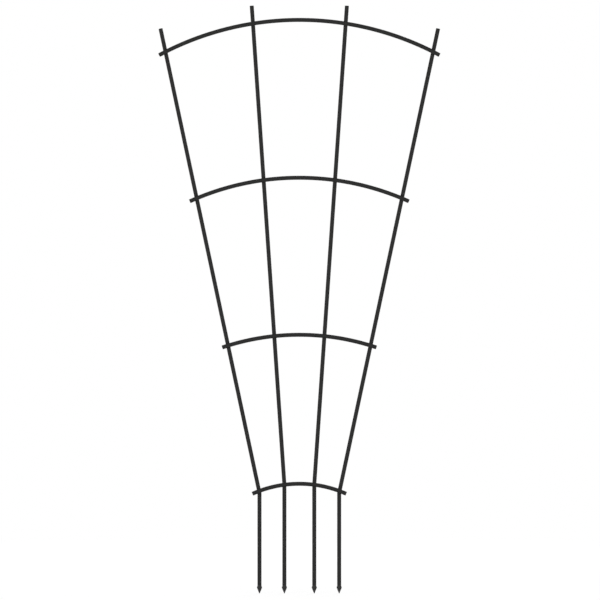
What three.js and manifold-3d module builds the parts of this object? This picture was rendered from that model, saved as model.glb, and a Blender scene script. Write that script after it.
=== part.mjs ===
// Fan trellis for climbing plants: four bent steel tubes that fan out from parallel legs, four
// rolled crossbars welded across their fronts, pointed ground tips and push-in end plugs.
// Millimetres, +Z up. The origin lies on the centre line at the soil line, on the plane of the
// uprights' axes. The crossbars are on the front, -Y. Left is -X, as seen from the front.

import * as THREE from "three";
import { mergeVertices } from "three/addons/utils/BufferGeometryUtils.js";
import Module from "manifold-3d";

// Tube stock, for uprights and crossbars alike. The polygon that stands for its round section has
// its corners on the true diameter.
const TUBE_DIAMETER = 12.7;
const TUBE_WALL = 1;
const TUBE_SIDES = 16;

// Uprights: a vertical leg, a bend at the bottom crossbar, and a straight splayed run that ends a
// little way past the top crossbar. The outer ones bend a little below the bar, the inner ones on it.
const OUTER_LEG_OFFSET = 124;
const OUTER_SPLAY_DEG = 12.03;
const OUTER_BEND_DROP = 6.7;
const OUTER_TOP_OVERHANG = 75.2;
const INNER_LEG_OFFSET = 46.5;
const INNER_SPLAY_DEG = 3.9;
const INNER_TOP_OVERHANG = 56.8;
const SOIL_DEPTH = 250;
const BEND_RADIUS = 32;
const BEND_STEPS = 4;

// Crossbars: the lowest one's crown above the soil line, the pitch from each crown up to the next,
// the radii of the bars' centre lines, and how far they run past the outer uprights.
const BOTTOM_CROWN = 91.5;
const LOWER_PITCH = 463.2;
const UPPER_PITCH = 488.3;
const TOP_PITCH = 490.7;
const BOTTOM_RADIUS = 357.5;
const LOWER_RADIUS = 751;
const UPPER_RADIUS = 827.5;
const TOP_RADIUS = 923;
const BOTTOM_OVERHANG = 22.4;
const LOWER_OVERHANG = 19.2;
const UPPER_OVERHANG = 23.5;
const TOP_OVERHANG = 22.5;
const BOTTOM_STEPS = 10;
const LOWER_STEPS = 12;
const UPPER_STEPS = 16;
const TOP_STEPS = 20;

// Ground tip, from the point up: a cone, a land that stands out past the tube, a flare back to the
// tube's width, a collar, and a spigot inside the tube.
const TIP_POINT_DIAMETER = 1.8;
const TIP_CONE_LENGTH = 17.8;
const TIP_SHOULDER = 1.85;
const TIP_LAND = 0.9;
const TIP_FLARE = 4.4;
const TIP_COLLAR = 2;
const TIP_SPIGOT_LENGTH = 24;

// End plug: a thin head as wide as the tube, with a broken edge and a slight dome, on a spigot.
const PLUG_HEAD = 2;
const PLUG_EDGE = 0.7;
const PLUG_DOME = 0.4;
const PLUG_SPIGOT_LENGTH = 11;

// Lead-in chamfer on the spigots of tips and plugs.
const LEAD_IN = 1.2;

// Weld bead: its radius, its length between the round ends, and how deep it bites into each tube.
const BEAD_RADIUS = 2.2;
const BEAD_LENGTH = 4.2;
const BEAD_BITE = 1;
const BEAD_SIDES = 10;
const BEAD_CAP_STEPS = 2;

// Clearance between a piece and the piece that it seats on.
const SEAT_GAP = 0.3;

const halfSide = Math.PI / TUBE_SIDES;
const tubeRadius = TUBE_DIAMETER / 2;
const tubeFlat = tubeRadius * Math.cos(halfSide);
const boreRadius = tubeRadius - TUBE_WALL;
const spigotRadius = boreRadius * Math.cos(halfSide) - SEAT_GAP;
const tipHeight = TIP_CONE_LENGTH + TIP_LAND + TIP_FLARE + TIP_COLLAR;
const plugReach = PLUG_HEAD + SEAT_GAP;
const barPlane = -(2 * tubeFlat + SEAT_GAP);

// A bar is known by its crown's height, its radius, its overhang and the steps of its arc.
function barOf(name, crown, radius, overhang, steps) {
  return { name, crown, radius, overhang, steps };
}

const lowerCrown = BOTTOM_CROWN + LOWER_PITCH;
const upperCrown = lowerCrown + UPPER_PITCH;
const topCrown = upperCrown + TOP_PITCH;
const bottomBar = barOf("bottom", BOTTOM_CROWN, BOTTOM_RADIUS, BOTTOM_OVERHANG, BOTTOM_STEPS);
const lowerBar = barOf("lower", lowerCrown, LOWER_RADIUS, LOWER_OVERHANG, LOWER_STEPS);
const upperBar = barOf("upper", upperCrown, UPPER_RADIUS, UPPER_OVERHANG, UPPER_STEPS);
const topBar = barOf("top", topCrown, TOP_RADIUS, TOP_OVERHANG, TOP_STEPS);
const BARS = [topBar, upperBar, lowerBar, bottomBar];

// Height of a crossbar's centre line at a distance from the middle.
function barHeight(bar, x) {
  return bar.crown - bar.radius + Math.sqrt(bar.radius ** 2 - x ** 2);
}

// An upright is known by its side, its leg's offset, its splay, its overhang past the top bar and
// the height of the corner where leg and run meet, at a drop below the bottom bar.
function uprightOf(name, side, leg, splayDeg, drop, overhang) {
  const splay = THREE.MathUtils.degToRad(splayDeg);
  return { name, side, leg, splay, overhang, corner: barHeight(bottomBar, leg) - drop };
}

function outerOf(name, side) {
  return uprightOf(
    name, side, OUTER_LEG_OFFSET, OUTER_SPLAY_DEG, OUTER_BEND_DROP, OUTER_TOP_OVERHANG,
  );
}

function innerOf(name, side) {
  return uprightOf(name, side, INNER_LEG_OFFSET, INNER_SPLAY_DEG, 0, INNER_TOP_OVERHANG);
}

const outermost = outerOf("outer_right", 1);
const UPRIGHTS = [
  outerOf("outer_left", -1),
  innerOf("inner_left", -1),
  innerOf("inner_right", 1),
  outermost,
];

const wasm = await Module();
wasm.setup();

// A tube's centre line as a row of stations. The parameter runs from station to station, so that a
// straight stretch takes one step and a bend takes several.
class StationRun extends THREE.Curve {
  constructor(stations) {
    super();
    this.stations = stations;
    this.steps = stations.length - 1;
  }

  between(t, key, target) {
    const place = t * this.steps;
    const i = Math.min(Math.floor(place), this.steps - 1);
    return target.lerpVectors(this.stations[i][key], this.stations[i + 1][key], place - i);
  }

  getPoint(t, target = new THREE.Vector3()) {
    return this.between(t, "point", target);
  }

  getPointAt(u, target) {
    return this.getPoint(u, target);
  }

  getTangent(t, target = new THREE.Vector3()) {
    return this.between(t, "tangent", target).normalize();
  }

  getTangentAt(u, target) {
    return this.getTangent(u, target);
  }
}

// A station in a plane of constant y. Lean is the tangent's angle from straight up, towards +X.
function station(x, y, z, lean) {
  return {
    point: new THREE.Vector3(x, y, z),
    tangent: new THREE.Vector3(Math.sin(lean), 0, Math.cos(lean)),
  };
}

// Distance from an upright's corner, along its splayed run, to its crossing with a bar.
function distanceTo(upright, bar) {
  const { leg, splay, corner } = upright;
  const above = corner - (bar.crown - bar.radius);
  const b = leg * Math.sin(splay) + above * Math.cos(splay);
  return Math.sqrt(b ** 2 - leg ** 2 - above ** 2 + bar.radius ** 2) - b;
}

// A point of an upright's splayed run, at a distance from its corner.
function onUpright(upright, distance) {
  const { side, leg, splay, corner } = upright;
  const x = leg + distance * Math.sin(splay);
  return station(side * x, 0, corner + distance * Math.cos(splay), side * splay);
}

// Distance from an upright's corner to either end of its bend.
function setback(upright) {
  return BEND_RADIUS * Math.tan(upright.splay / 2);
}

// An upright's lean at a distance from its corner: the bend eases it in around the corner.
function leanAt(upright, distance) {
  const share = THREE.MathUtils.clamp((distance / setback(upright) + 1) / 2, 0, 1);
  return upright.side * upright.splay * share;
}

function uprightRun(upright) {
  const { side, leg, splay, corner } = upright;
  const bendStart = corner - setback(upright);
  const stations = [station(side * leg, 0, tipHeight + SEAT_GAP - SOIL_DEPTH, 0)];
  for (let i = 0; i <= BEND_STEPS; i++) {
    const lean = (splay * i) / BEND_STEPS;
    const x = leg + BEND_RADIUS * (1 - Math.cos(lean));
    stations.push(station(side * x, 0, bendStart + BEND_RADIUS * Math.sin(lean), side * lean));
  }
  stations.push(onUpright(upright, distanceTo(upright, topBar) + upright.overhang - plugReach));
  return new StationRun(stations);
}

// A point of a crossbar at an angle from its crown, positive to the right.
function onBar(bar, angle) {
  const x = bar.radius * Math.sin(angle);
  const z = bar.crown - bar.radius * (1 - Math.cos(angle));
  return station(x, barPlane, z, Math.PI / 2 + angle);
}

// Angle on a bar, from its crown, at which it crosses an upright.
function crossingAngle(upright, bar) {
  return Math.asin(onUpright(upright, distanceTo(upright, bar)).point.x / bar.radius);
}

// Angle from a bar's crown to the end of its tube, short of its plug.
function barEndAngle(bar) {
  return crossingAngle(outermost, bar) + (bar.overhang - plugReach) / bar.radius;
}

function barRun(bar) {
  const end = barEndAngle(bar);
  const stations = [];
  for (let i = 0; i <= bar.steps; i++) stations.push(onBar(bar, end * ((2 * i) / bar.steps - 1)));
  return new StationRun(stations);
}

// The polygon of a tube's section. Two of its flats face along Y once it is swept.
function polygon(Kind, radius) {
  const corners = [];
  for (let i = 0; i < TUBE_SIDES; i++) {
    const angle = (2 * i + 1) * halfSide;
    corners.push(new THREE.Vector2(radius * Math.cos(angle), radius * Math.sin(angle)));
  }
  return new Kind(corners);
}

function sweep(run, radius, bore) {
  const section = polygon(THREE.Shape, radius);
  if (bore) section.holes.push(polygon(THREE.Path, bore));
  return new THREE.ExtrudeGeometry(section, { steps: run.steps, extrudePath: run });
}

// A piece turned about its local Y axis, with its flats in line with the tube's.
function turned(profile) {
  const points = profile.map(([radius, height]) => new THREE.Vector2(radius, height));
  return new THREE.LatheGeometry(points, TUBE_SIDES, halfSide);
}

function tipGeometry() {
  const landTop = TIP_CONE_LENGTH + TIP_LAND;
  const spigotTop = tipHeight + TIP_SPIGOT_LENGTH;
  return turned([
    [0, 0],
    [TIP_POINT_DIAMETER / 2, 0],
    [tubeRadius + TIP_SHOULDER, TIP_CONE_LENGTH],
    [tubeRadius + TIP_SHOULDER, landTop],
    [tubeRadius, landTop + TIP_FLARE],
    [tubeRadius, tipHeight],
    [spigotRadius, tipHeight],
    [spigotRadius, spigotTop - LEAD_IN],
    [spigotRadius - LEAD_IN, spigotTop],
    [0, spigotTop],
  ]);
}

// Heights count outwards from the end of the tube that the plug closes.
function plugGeometry() {
  const spigotEnd = SEAT_GAP - PLUG_SPIGOT_LENGTH;
  const rim = plugReach - PLUG_DOME;
  return turned([
    [0, spigotEnd],
    [spigotRadius - LEAD_IN, spigotEnd],
    [spigotRadius, spigotEnd + LEAD_IN],
    [spigotRadius, SEAT_GAP],
    [tubeRadius, SEAT_GAP],
    [tubeRadius, rim - PLUG_EDGE],
    [tubeRadius - PLUG_EDGE, rim],
    [0, plugReach],
  ]);
}

function solidOf(geometry) {
  const merged = mergeVertices(geometry.clone().deleteAttribute("normal").deleteAttribute("uv"));
  return new wasm.Manifold(new wasm.Mesh({
    numProp: 3,
    vertProperties: merged.attributes.position.array,
    triVerts: new Uint32Array(merged.index.array),
  }));
}

function geometryOf(solid) {
  const { vertProperties, triVerts } = solid.getMesh();
  const geometry = new THREE.BufferGeometry();
  geometry.setAttribute("position", new THREE.BufferAttribute(vertProperties, 3));
  geometry.setIndex(new THREE.BufferAttribute(triVerts, 1));
  geometry.computeVertexNormals();
  return geometry;
}

// One weld bead, behind a crossbar in the crotch beside an upright, to its right where side is 1.
// It lies along the upright, centred on the bar, and is cut to seat on both tubes.
function beadGeometry(upright, bar, side, cutters) {
  const angle = crossingAngle(upright, bar);
  const { point, tangent } = onBar(bar, angle);
  const lean = leanAt(upright, distanceTo(upright, bar));
  const lift = BEAD_RADIUS - BEAD_BITE;
  const aside = Math.sqrt((tubeFlat + lift) ** 2 - (tubeFlat - lift) ** 2);
  const bead = new THREE.CapsuleGeometry(BEAD_RADIUS, BEAD_LENGTH, BEAD_CAP_STEPS, BEAD_SIDES);
  bead.rotateX(Math.PI / 2);
  bead.rotateY(lean);
  point.addScaledVector(tangent, (side * aside) / Math.cos(angle - lean));
  bead.translate(point.x, lift - tubeFlat, point.z);
  return geometryOf(cutters.reduce((left, cutter) => left.subtract(cutter), solidOf(bead)));
}

const powderCoat = new THREE.MeshStandardMaterial({ color: 0x313131, roughness: 0.5 });
const tipCoat = new THREE.MeshStandardMaterial({ color: 0x333333, roughness: 0.45 });
const plugPlastic = new THREE.MeshStandardMaterial({ color: 0x2b2b2b, roughness: 0.6 });

const trellis = new THREE.Group();
trellis.name = "fan_trellis";

function add(name, geometry, material) {
  const mesh = new THREE.Mesh(geometry, material);
  mesh.name = name;
  trellis.add(mesh);
  return mesh;
}

// Places a turned piece at a point, its local Y axis along the direction of the lean.
function seat(mesh, point, lean) {
  mesh.position.copy(point);
  mesh.rotation.set(Math.PI / 2, lean, 0, "YXZ");
}

const tip = tipGeometry();
const plug = plugGeometry();

for (const upright of UPRIGHTS) {
  const { name, side, leg, splay } = upright;
  const run = uprightRun(upright);
  add(`upright_${name}`, sweep(run, tubeRadius, boreRadius), powderCoat);
  upright.cutter = solidOf(sweep(run, tubeRadius + SEAT_GAP));
  seat(add(`ground_tip_${name}`, tip, tipCoat), new THREE.Vector3(side * leg, 0, -SOIL_DEPTH), 0);
  seat(add(`top_plug_${name}`, plug, plugPlastic), run.getPoint(1), side * splay);
}

for (const bar of BARS) {
  const run = barRun(bar);
  const outward = Math.PI / 2 + barEndAngle(bar);
  add(`crossbar_${bar.name}`, sweep(run, tubeRadius, boreRadius), powderCoat);
  seat(add(`bar_plug_${bar.name}_left`, plug, plugPlastic), run.getPoint(0), -outward);
  seat(add(`bar_plug_${bar.name}_right`, plug, plugPlastic), run.getPoint(1), outward);
  const barCutter = solidOf(sweep(run, tubeRadius + SEAT_GAP));
  for (const upright of UPRIGHTS) {
    const cutters = [upright.cutter, barCutter];
    const weld = `weld_${bar.name}_${upright.name}`;
    add(`${weld}_inboard`, beadGeometry(upright, bar, -upright.side, cutters), powderCoat);
    add(`${weld}_outboard`, beadGeometry(upright, bar, upright.side, cutters), powderCoat);
  }
}

export default trellis;
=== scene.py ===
import math
from collections import namedtuple

import bpy
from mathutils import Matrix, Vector


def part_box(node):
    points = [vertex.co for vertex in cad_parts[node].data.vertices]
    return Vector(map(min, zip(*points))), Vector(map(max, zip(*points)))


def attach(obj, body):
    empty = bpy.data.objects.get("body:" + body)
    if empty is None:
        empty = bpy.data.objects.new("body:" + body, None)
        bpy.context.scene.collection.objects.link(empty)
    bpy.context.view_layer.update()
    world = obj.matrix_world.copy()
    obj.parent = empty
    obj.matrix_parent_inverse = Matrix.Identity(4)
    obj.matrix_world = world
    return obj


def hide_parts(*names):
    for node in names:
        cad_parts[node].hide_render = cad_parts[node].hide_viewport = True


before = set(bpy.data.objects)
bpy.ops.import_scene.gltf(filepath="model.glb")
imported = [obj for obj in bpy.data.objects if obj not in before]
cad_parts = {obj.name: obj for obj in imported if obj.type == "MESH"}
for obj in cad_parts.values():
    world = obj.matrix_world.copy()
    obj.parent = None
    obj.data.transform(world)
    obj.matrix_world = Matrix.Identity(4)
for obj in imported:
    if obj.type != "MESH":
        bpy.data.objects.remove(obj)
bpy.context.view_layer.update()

# Sizes in metres, angles in radians. X is to the right as seen from the front, Y to the back and Z
# up from the soil line.
MM = 0.001
TUBE_RADIUS = 6.35 * MM
TUBE_WALL = 1 * MM
TUBE_EDGE = 0.25 * MM
SEAT_GAP = 0.3 * MM

# An upright: its side, the offset of its leg, its splay, how far its bend lies below the bottom bar
# and how far it runs past the top bar.
Upright = namedtuple("Upright", "name side leg splay drop overhang")
OUTER = (124 * MM, math.radians(12.03), 6.7 * MM, 75.2 * MM)
INNER = (46.5 * MM, math.radians(3.9), 0, 56.8 * MM)
OUTERMOST = Upright("outer_right", 1, *OUTER)
UPRIGHTS = [
    Upright("outer_left", -1, *OUTER),
    Upright("inner_left", -1, *INNER),
    Upright("inner_right", 1, *INNER),
    OUTERMOST,
]
SOIL_DEPTH = 250 * MM
BEND_RADIUS = 32 * MM

# A crossbar: the height of its crown, its radius and how far it runs past the outer uprights.
Bar = namedtuple("Bar", "name crown radius overhang")
TOP_BAR = Bar("top", 1533.7 * MM, 923 * MM, 22.5 * MM)
UPPER_BAR = Bar("upper", 1043 * MM, 827.5 * MM, 23.5 * MM)
LOWER_BAR = Bar("lower", 554.7 * MM, 751 * MM, 19.2 * MM)
BOTTOM_BAR = Bar("bottom", 91.5 * MM, 357.5 * MM, 22.4 * MM)
BARS = [TOP_BAR, UPPER_BAR, LOWER_BAR, BOTTOM_BAR]

# Ground tip, from its point up.
TIP_POINT_RADIUS = 0.9 * MM
TIP_CONE_LENGTH = 17.8 * MM
TIP_SHOULDER = 1.85 * MM
TIP_LAND = 0.9 * MM
TIP_FLARE = 4.4 * MM
TIP_COLLAR = 2 * MM
TIP_SPIGOT_LENGTH = 24 * MM

# End plug, outwards from the end of its tube, with the dimple that the mould's gate leaves.
PLUG_HEAD = 2 * MM
PLUG_EDGE = 0.7 * MM
PLUG_DOME = 0.4 * MM
PLUG_SPIGOT_LENGTH = 11 * MM
PLUG_GATE_RADIUS = 0.9 * MM
PLUG_GATE_DEPTH = 0.25 * MM

# Lead-in chamfer on the spigots of tips and plugs.
LEAD_IN = 1.2 * MM

# Weld bead, with the ripples that the torch leaves. A fullness of 2 would make it an ellipse.
BEAD_RADIUS = 2.2 * MM
BEAD_LENGTH = 8.6 * MM
BEAD_BITE = 1 * MM
BEAD_FULLNESS = 2.6
RIPPLE_PITCH = 1.35 * MM
RIPPLE_DEPTH = 0.11 * MM
RIPPLE_BOW = 0.55 * MM

# Fineness of the meshes.
TUBE_SIDES = 48
ARC_STEP = math.radians(0.75)
STRAIGHT_STEP = 60 * MM
BEND_STEPS = 12
CORNER_STEPS = 6
BEAD_RINGS = 56
BEAD_SIDES = 28
SHARP_ANGLE = math.radians(40)

# A coat, by slot. Its waves and its finer tooth are bumps of a size and a depth.
Coat = namedtuple("Coat", "colour roughness gloss waves tooth")
COATS = {
    "powder_coat": Coat(
        (0.021, 0.021, 0.0205), 0.55, 0.12, (1.4 * MM, 0.05 * MM), (0.35 * MM, 0.008 * MM),
    ),
    "tip_coat": Coat(
        (0.033, 0.033, 0.0323), 0.48, 0.16, (1.8 * MM, 0.03 * MM), (0.3 * MM, 0.006 * MM),
    ),
    "plug_plastic": Coat(
        (0.019, 0.019, 0.019), 0.6, 0.14, (2.5 * MM, 0.015 * MM), (0.25 * MM, 0.01 * MM),
    ),
}
BUMP_DETAIL = 2

# A coat's shade varies in clouds and its roughness in patches, each by this much up and down.
CLOUD_SIZE = 25 * MM
CLOUD_DETAIL = 4
SHADE_SPREAD = 0.06
PATCH_SIZE = 6 * MM
PATCH_DETAIL = 3
ROUGHNESS_SPREAD = 0.05

# Most of a noise's values lie in this range.
NOISE_RANGE = (0.3, 0.7)

# Grooves that the lathe left round the tips, softened by the coat. A wave texture has this many
# waves a metre at a scale of 1.
GROOVED_SLOT = "tip_coat"
GROOVE_PITCH = 0.6 * MM
GROOVE_DEPTH = 0.012 * MM
WAVES_AT_SCALE_1 = 20 / (2 * math.pi)

# The camera stands square to the front, far off. The image is as wide as FRAME_WIDTH on the plane
# of the uprights, and its middle is this far right of the centre line and above the tips' points.
FRAME_WIDTH = 1867.3 * MM
FRAME_RIGHT = 2.1 * MM
FRAME_HEIGHT = 912.9 * MM
LENS_MM = 250
SENSOR_MM = 36

# Softboxes by name: place, width in metres and power in watts. The world adds an even light.
LAMPS = {
    "key_softbox": ((-3.2, -4.8, 1.1), 2.2, 105),
    "fill_softbox": ((3.4, -4.8, 0.9), 2.2, 80),
    "rear_softbox": ((1.2, 4.8, 2.6), 2.4, 80),
}
WORLD_LIGHT = 0.35
WHITE = (1, 1, 1, 1)

# Up to the nearer distance of its fade the camera sees the floor by this share as a glow and for
# the rest as its lit surface, which carries the shadows. The glow is over white there, to make up
# for the lit surface, which is under it. From the farther distance on it is all glow, at white.
FLOOR_REACH = 12
FLOOR_COLOUR = (0.85, 0.85, 0.85, 1)
FLOOR_ROUGHNESS = 0.9
FLOOR_GLOW_SHARE = 0.65
FLOOR_GLOW = 1.29
FLOOR_FADE = (1.2, 3)

BACK = Vector((0, 1, 0))
TIP_HEIGHT = TIP_CONE_LENGTH + TIP_LAND + TIP_FLARE + TIP_COLLAR
BORE_RADIUS = TUBE_RADIUS - TUBE_WALL
SPIGOT_RADIUS = BORE_RADIUS - SEAT_GAP
PLUG_REACH = PLUG_HEAD + SEAT_GAP
low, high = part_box("crossbar_top")
BAR_PLANE = (low.y + high.y) / 2


def link_object(name, data):
    """A new object in the scene."""
    made = bpy.data.objects.new(name, data)
    bpy.context.scene.collection.objects.link(made)
    return made


def bridge(first, second):
    """Faces between two rings, as lists of point numbers. A ring of one point is a pole."""
    faces = []
    count = max(len(first), len(second))
    for i in range(count):
        j = (i + 1) % count
        corners = [first[i % len(first)], first[j % len(first)],
                   second[j % len(second)], second[i % len(second)]]
        faces.append(list(dict.fromkeys(corners)))
    return faces


def skinned(name, rings, closed=False):
    """A mesh skinned over rings of points, from the last back to the first where it is closed."""
    points, numbers = [], []
    for circle in rings:
        numbers.append(range(len(points), len(points) + len(circle)))
        points += circle
    faces = []
    following = numbers[1:] + numbers[:1] if closed else numbers[1:]
    for first, second in zip(numbers, following):
        faces += bridge(first, second)
    mesh = bpy.data.meshes.new(name)
    mesh.from_pydata(points, [], faces)
    mesh.shade_smooth()
    mesh.set_sharp_from_angle(angle=SHARP_ANGLE)
    return link_object(name, mesh)


def along(lean):
    """The direction at an angle from straight up, towards +X."""
    return Vector((math.sin(lean), 0, math.cos(lean)))


def around(centre, lean, turn, radius):
    """A point at a radius from a centre, square to the lean, at a turn from straight back."""
    across = along(lean).cross(BACK)
    return centre + radius * (math.cos(turn) * BACK + math.sin(turn) * across)


def even_turns(sides):
    return [2 * math.pi * i / sides for i in range(sides)]


def ring(centre, lean, radius):
    """A ring of points square to a lean, or one point where the radius is nothing."""
    if radius == 0:
        return [centre.copy()]
    return [around(centre, lean, turn, radius) for turn in even_turns(TUBE_SIDES)]


def tube(name, run):
    """A hollow tube along a run of (centre, lean), with the outer edge of each end broken."""
    (start, start_lean), (end, end_lean) = run[0], run[-1]
    inset = [(start + TUBE_EDGE * along(start_lean), start_lean)]
    outset = [(end - TUBE_EDGE * along(end_lean), end_lean)]
    skin = [ring(start, start_lean, TUBE_RADIUS - TUBE_EDGE)]
    skin += [ring(*place, TUBE_RADIUS) for place in inset + run[1:-1] + outset]
    skin.append(ring(end, end_lean, TUBE_RADIUS - TUBE_EDGE))
    bore = [ring(*place, BORE_RADIUS) for place in run]
    return skinned(name, skin + bore[::-1], closed=True)


def fillet(corner, before, after, rounding):
    """Points of the arc that rounds a corner between two others."""
    back = (before - corner).normalized()
    onward = (after - corner).normalized()
    half = back.angle(onward) / 2
    centre = corner + (back + onward).normalized() * rounding / math.sin(half)
    first = corner + back * rounding / math.tan(half) - centre
    last = corner + onward * rounding / math.tan(half) - centre
    return [centre + rounding * first.slerp(last, k / CORNER_STEPS) for k in range(CORNER_STEPS + 1)]


def rounded(corners):
    """A profile's (radius, height) points, from corners with a third value, their rounding."""
    points = [Vector(corner[:2]) for corner in corners]
    profile = []
    for i, (_, _, rounding) in enumerate(corners):
        if rounding == 0:
            profile.append(points[i])
        else:
            profile += fillet(points[i], points[i - 1], points[i + 1], rounding)
    return profile


def turned(name, corners, foot, lean):
    """A piece turned about the line from a foot along a lean."""
    rings = [ring(foot + height * along(lean), lean, radius) for radius, height in rounded(corners)]
    return skinned(name, rings)


def bar_height(bar, x):
    """Height of a crossbar's centre line at a distance from the middle."""
    return bar.crown - bar.radius + math.sqrt(bar.radius ** 2 - x ** 2)


def corner_height(upright):
    """Height of the corner where an upright's leg and splayed run meet."""
    return bar_height(BOTTOM_BAR, upright.leg) - upright.drop


def distance_to(upright, bar):
    """Distance from an upright's corner along its splayed run to its crossing with a bar."""
    above = corner_height(upright) - (bar.crown - bar.radius)
    b = upright.leg * math.sin(upright.splay) + above * math.cos(upright.splay)
    return math.sqrt(b ** 2 - upright.leg ** 2 - above ** 2 + bar.radius ** 2) - b


def on_upright(upright, distance):
    """A place on an upright's splayed run, at a distance from its corner, and the lean there."""
    x = upright.leg + distance * math.sin(upright.splay)
    z = corner_height(upright) + distance * math.cos(upright.splay)
    return Vector((upright.side * x, 0, z)), upright.side * upright.splay


def setback(upright):
    """Distance from an upright's corner to either end of its bend."""
    return BEND_RADIUS * math.tan(upright.splay / 2)


def lean_at(upright, distance):
    """An upright's lean at a distance from its corner: the bend eases it in around the corner."""
    share = (distance / setback(upright) + 1) / 2
    return upright.side * upright.splay * min(max(share, 0), 1)


def straight(start, end, lean):
    """Places on a straight stretch, its two ends among them."""
    steps = max(1, round((end - start).length / STRAIGHT_STEP))
    return [(start.lerp(end, i / steps), lean) for i in range(steps + 1)]


def bend(upright):
    """Places on the bend of an upright, from the leg up."""
    start = corner_height(upright) - setback(upright)
    places = []
    for i in range(BEND_STEPS + 1):
        lean = upright.splay * i / BEND_STEPS
        x = upright.leg + BEND_RADIUS * (1 - math.cos(lean))
        z = start + BEND_RADIUS * math.sin(lean)
        places.append((Vector((upright.side * x, 0, z)), upright.side * lean))
    return places


def upright_run(upright):
    foot = Vector((upright.side * upright.leg, 0, TIP_HEIGHT + SEAT_GAP - SOIL_DEPTH))
    curve = bend(upright)
    top, lean = on_upright(upright, distance_to(upright, TOP_BAR) + upright.overhang - PLUG_REACH)
    return straight(foot, curve[0][0], 0)[:-1] + curve + straight(curve[-1][0], top, lean)[1:]


def on_bar(bar, angle):
    """A place on a crossbar, at an angle from its crown, and the lean there."""
    x = bar.radius * math.sin(angle)
    z = bar.crown - bar.radius * (1 - math.cos(angle))
    return Vector((x, BAR_PLANE, z)), math.pi / 2 + angle


def crossing_angle(upright, bar):
    """Angle on a bar, from its crown, at which it crosses an upright."""
    return math.asin(on_upright(upright, distance_to(upright, bar))[0].x / bar.radius)


def bar_run(bar):
    end = crossing_angle(OUTERMOST, bar) + (bar.overhang - PLUG_REACH) / bar.radius
    steps = math.ceil(2 * end / ARC_STEP)
    return [on_bar(bar, end * (2 * i / steps - 1)) for i in range(steps + 1)]


def ground_tip(name, foot):
    wide = TUBE_RADIUS + TIP_SHOULDER
    land_top = TIP_CONE_LENGTH + TIP_LAND
    spigot_top = TIP_HEIGHT + TIP_SPIGOT_LENGTH
    return turned(name, [
        (0, 0, 0),
        (TIP_POINT_RADIUS, 0, TIP_POINT_RADIUS / 2),
        (wide, TIP_CONE_LENGTH, TIP_LAND / 2),
        (wide, land_top, TIP_LAND / 2),
        (TUBE_RADIUS, land_top + TIP_FLARE, TIP_COLLAR / 2),
        (TUBE_RADIUS, TIP_HEIGHT, TUBE_EDGE),
        (SPIGOT_RADIUS, TIP_HEIGHT, 0),
        (SPIGOT_RADIUS, spigot_top - LEAD_IN, 0),
        (SPIGOT_RADIUS - LEAD_IN, spigot_top, 0),
        (0, spigot_top, 0),
    ], foot, 0)


def end_plug(name, end, lean):
    spigot_end = SEAT_GAP - PLUG_SPIGOT_LENGTH
    return turned(name, [
        (0, spigot_end, 0),
        (SPIGOT_RADIUS - LEAD_IN, spigot_end, 0),
        (SPIGOT_RADIUS, spigot_end + LEAD_IN, 0),
        (SPIGOT_RADIUS, SEAT_GAP, 0),
        (TUBE_RADIUS, SEAT_GAP, TUBE_EDGE),
        (TUBE_RADIUS, PLUG_REACH - PLUG_DOME, PLUG_EDGE),
        (PLUG_GATE_RADIUS, PLUG_REACH, PLUG_GATE_DEPTH),
        (PLUG_GATE_RADIUS - PLUG_GATE_DEPTH, PLUG_REACH - PLUG_GATE_DEPTH, 0),
        (0, PLUG_REACH - PLUG_GATE_DEPTH, 0),
    ], end, lean)


def bead_seat(upright, bar, side):
    """Middle and lean of a bead between an upright and a bar, right of the upright if side is 1."""
    angle = crossing_angle(upright, bar)
    point, bar_lean = on_bar(bar, angle)
    lean = lean_at(upright, distance_to(upright, bar))
    lift = BEAD_RADIUS - BEAD_BITE
    aside = math.sqrt((TUBE_RADIUS + lift) ** 2 - (TUBE_RADIUS - lift) ** 2)
    middle = point + side * aside / math.cos(angle - lean) * along(bar_lean)
    middle.y = lift - TUBE_RADIUS
    return middle, lean


def bead_ring(centre, lean, shift, radius):
    """A ring of a bead, rippled by its shift from the bead's middle, or one point at an end."""
    if radius == 0:
        return [centre]
    circle = []
    for turn in even_turns(BEAD_SIDES):
        wave = math.cos(2 * math.pi * (shift + RIPPLE_BOW * math.cos(turn)) / RIPPLE_PITCH)
        rippled = radius + RIPPLE_DEPTH * wave * radius / BEAD_RADIUS
        circle.append(around(centre, lean, turn, rippled))
    return circle


def weld_bead(name, upright, bar, side):
    """A bead along an upright, behind a bar."""
    middle, lean = bead_seat(upright, bar, side)
    rings = []
    for i in range(BEAD_RINGS + 1):
        share = math.sin(math.pi * (i / BEAD_RINGS - 0.5))
        shift = share * BEAD_LENGTH / 2
        radius = BEAD_RADIUS * max(0, 1 - abs(share) ** BEAD_FULLNESS) ** (1 / BEAD_FULLNESS)
        rings.append(bead_ring(middle + shift * along(lean), lean, shift, radius))
    return skinned(name, rings)


def mapped(tree, value, old_range, new_range):
    """A value with one range mapped to another, and held at its ends."""
    node = tree.nodes.new("ShaderNodeMapRange")
    node.inputs["From Min"].default_value, node.inputs["From Max"].default_value = old_range
    node.inputs["To Min"].default_value, node.inputs["To Max"].default_value = new_range
    tree.links.new(value, node.inputs["Value"])
    return node.outputs["Result"]


def noise(tree, place, size, detail, new_range):
    """Noise of a size in metres, mapped to a range."""
    texture = tree.nodes.new("ShaderNodeTexNoise")
    texture.inputs["Scale"].default_value = 1 / size
    texture.inputs["Detail"].default_value = detail
    tree.links.new(place, texture.inputs["Vector"])
    return mapped(tree, texture.outputs["Fac"], NOISE_RANGE, new_range)


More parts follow.
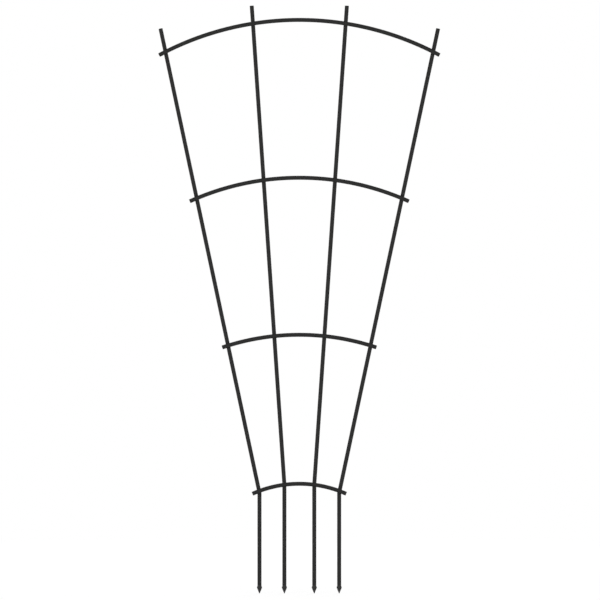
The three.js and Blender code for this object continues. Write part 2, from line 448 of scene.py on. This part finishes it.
def grooves(tree, place):
    """The height of even grooves round a vertical piece."""
    texture = tree.nodes.new("ShaderNodeTexWave")
    texture.bands_direction = "Z"
    texture.inputs["Scale"].default_value = 1 / (GROOVE_PITCH * WAVES_AT_SCALE_1)
    tree.links.new(place, texture.inputs["Vector"])
    return texture.outputs["Fac"]


def relief(tree, height, depth, under=None):
    """The relief of a height map of a depth in metres, on top of what relief is under it."""
    bump = tree.nodes.new("ShaderNodeBump")
    bump.inputs["Strength"].default_value = 1
    bump.inputs["Distance"].default_value = depth
    tree.links.new(height, bump.inputs["Height"])
    if under:
        tree.links.new(under, bump.inputs["Normal"])
    return bump.outputs["Normal"]


def bumps(tree, place, sizes, under=None):
    """Noise bumps of a size and a depth, on top of what relief is under them."""
    size, depth = sizes
    return relief(tree, noise(tree, place, size, BUMP_DETAIL, (0, 1)), depth, under)


def tinted(tree, colour, shade):
    """A colour scaled by a shade."""
    tint = tree.nodes.new("ShaderNodeVectorMath")
    tint.operation = "SCALE"
    tint.inputs[0].default_value = colour
    tree.links.new(shade, tint.inputs["Scale"])
    return tint.outputs["Vector"]


def up_and_down(value, spread):
    return value - spread, value + spread


def coat(slot):
    """A slot's coat, as a material."""
    look = COATS[slot]
    material = bpy.data.materials.new(slot + "_finish")
    material.use_nodes = True
    tree = material.node_tree
    shader = tree.nodes["Principled BSDF"]
    shader.inputs["Specular IOR Level"].default_value = look.gloss
    place = tree.nodes.new("ShaderNodeTexCoord").outputs["Object"]

    shade = noise(tree, place, CLOUD_SIZE, CLOUD_DETAIL, up_and_down(1, SHADE_SPREAD))
    tree.links.new(tinted(tree, look.colour, shade), shader.inputs["Base Color"])

    roughness = up_and_down(look.roughness, ROUGHNESS_SPREAD)
    patches = noise(tree, place, PATCH_SIZE, PATCH_DETAIL, roughness)
    tree.links.new(patches, shader.inputs["Roughness"])

    normal = bumps(tree, place, look.waves)
    if slot == GROOVED_SLOT:
        normal = relief(tree, grooves(tree, place), GROOVE_DEPTH, normal)
    normal = bumps(tree, place, look.tooth, normal)
    tree.links.new(normal, shader.inputs["Normal"])
    return material


FINISHES = {slot: coat(slot) for slot in COATS}


def finish_piece(piece, node, slot):
    """Gives a piece the coat of its slot and puts it in a node's place."""
    piece.data.materials.append(FINISHES[slot])
    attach(piece, "root")
    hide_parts(node)


def build_uprights():
    for upright in UPRIGHTS:
        name = upright.name
        run = upright_run(upright)
        end, lean = run[-1]
        foot = Vector((upright.side * upright.leg, 0, -SOIL_DEPTH))
        finish_piece(tube(f"{name}_upright_tube", run), f"upright_{name}", "powder_coat")
        finish_piece(ground_tip(f"{name}_ground_point", foot), f"ground_tip_{name}", "tip_coat")
        finish_piece(end_plug(f"{name}_top_cap", end, lean), f"top_plug_{name}", "plug_plastic")


def build_bars():
    for bar in BARS:
        name = bar.name
        run = bar_run(bar)
        finish_piece(tube(f"{name}_crossbar_tube", run), f"crossbar_{name}", "powder_coat")
        for hand, (end, lean) in (("left", run[0]), ("right", run[-1])):
            outward = lean + (math.pi if hand == "left" else 0)
            cap = end_plug(f"{name}_{hand}_bar_cap", end, outward)
            finish_piece(cap, f"bar_plug_{name}_{hand}", "plug_plastic")


def build_welds():
    for bar in BARS:
        for upright in UPRIGHTS:
            for flank, side in (("inboard", -upright.side), ("outboard", upright.side)):
                joint = f"{bar.name}_{upright.name}_{flank}"
                bead = weld_bead(f"{joint}_bead", upright, bar, side)
                finish_piece(bead, f"weld_{joint}", "powder_coat")


def add_camera():
    data = bpy.data.cameras.new("camera")
    data.lens = LENS_MM
    data.sensor_width = SENSOR_MM
    camera = link_object("camera", data)
    distance = FRAME_WIDTH * LENS_MM / SENSOR_MM
    camera.location = (FRAME_RIGHT, -distance, FRAME_HEIGHT - SOIL_DEPTH)
    camera.rotation_euler = (math.pi / 2, 0, 0)
    bpy.context.scene.camera = camera


def combined(tree, operation, first, second):
    node = tree.nodes.new("ShaderNodeMath")
    node.operation = operation
    tree.links.new(first, node.inputs[0])
    tree.links.new(second, node.inputs[1])
    return node.outputs[0]


def shown_and_lit(tree, shown, lit, share=None):
    """Shows one shader to camera, glossy and transmission rays, by a share, and lights by another."""
    path = tree.nodes.new("ShaderNodeLightPath")
    sight = path.outputs["Is Camera Ray"]
    for ray in ("Is Glossy Ray", "Is Transmission Ray"):
        sight = combined(tree, "MAXIMUM", sight, path.outputs[ray])
    if share:
        sight = combined(tree, "MULTIPLY", sight, share)
    mix = tree.nodes.new("ShaderNodeMixShader")
    tree.links.new(sight, mix.inputs["Fac"])
    tree.links.new(lit.outputs[0], mix.inputs[1])
    tree.links.new(shown.outputs[0], mix.inputs[2])
    return mix.outputs[0]


def add_world():
    world = bpy.data.worlds.new("studio")
    bpy.context.scene.world = world
    world.use_nodes = True
    tree = world.node_tree
    lit = tree.nodes["Background"]
    lit.inputs["Color"].default_value = WHITE
    lit.inputs["Strength"].default_value = WORLD_LIGHT
    shown = tree.nodes.new("ShaderNodeBackground")
    shown.inputs["Color"].default_value = WHITE
    shown.inputs["Strength"].default_value = 1
    tree.links.new(shown_and_lit(tree, shown, lit), tree.nodes["World Output"].inputs["Surface"])


def fading(tree, near):
    """A value that goes from near to 1 with the distance from the object's foot."""
    distance = tree.nodes.new("ShaderNodeVectorMath")
    distance.operation = "LENGTH"
    place = tree.nodes.new("ShaderNodeTexCoord").outputs["Object"]
    tree.links.new(place, distance.inputs[0])
    return mapped(tree, distance.outputs["Value"], FLOOR_FADE, (near, 1))


def floor_material():
    material = bpy.data.materials.new("floor")
    material.use_nodes = True
    tree = material.node_tree
    lit = tree.nodes["Principled BSDF"]
    lit.inputs["Base Color"].default_value = FLOOR_COLOUR
    lit.inputs["Roughness"].default_value = FLOOR_ROUGHNESS
    lit.inputs["Specular IOR Level"].default_value = 0
    shown = tree.nodes.new("ShaderNodeEmission")
    tree.links.new(fading(tree, FLOOR_GLOW), shown.inputs["Strength"])
    mix = shown_and_lit(tree, shown, lit, fading(tree, FLOOR_GLOW_SHARE))
    tree.links.new(mix, tree.nodes["Material Output"].inputs["Surface"])
    return material


def add_floor():
    mesh = bpy.data.meshes.new("floor")
    corners = [(x * FLOOR_REACH, y * FLOOR_REACH, 0) for x, y in ((-1, -1), (1, -1), (1, 1), (-1, 1))]
    mesh.from_pydata(corners, [], [(0, 1, 2, 3)])
    mesh.materials.append(floor_material())
    floor = link_object("floor", mesh)
    floor.location.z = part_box("ground_tip_outer_left")[0].z


def add_lamps():
    aim = Vector((0, 0, FRAME_HEIGHT - SOIL_DEPTH))
    for name, (place, width, power) in LAMPS.items():
        data = bpy.data.lights.new(name, "AREA")
        data.shape = "SQUARE"
        data.size = width
        data.energy = power
        lamp = link_object(name, data)
        lamp.location = place
        lamp.rotation_euler = (aim - Vector(place)).to_track_quat("-Z", "Y").to_euler()


add_camera()
build_uprights()
build_bars()
build_welds()
add_world()
add_floor()
add_lamps()
bpy.context.scene.view_settings.view_transform = "Standard"
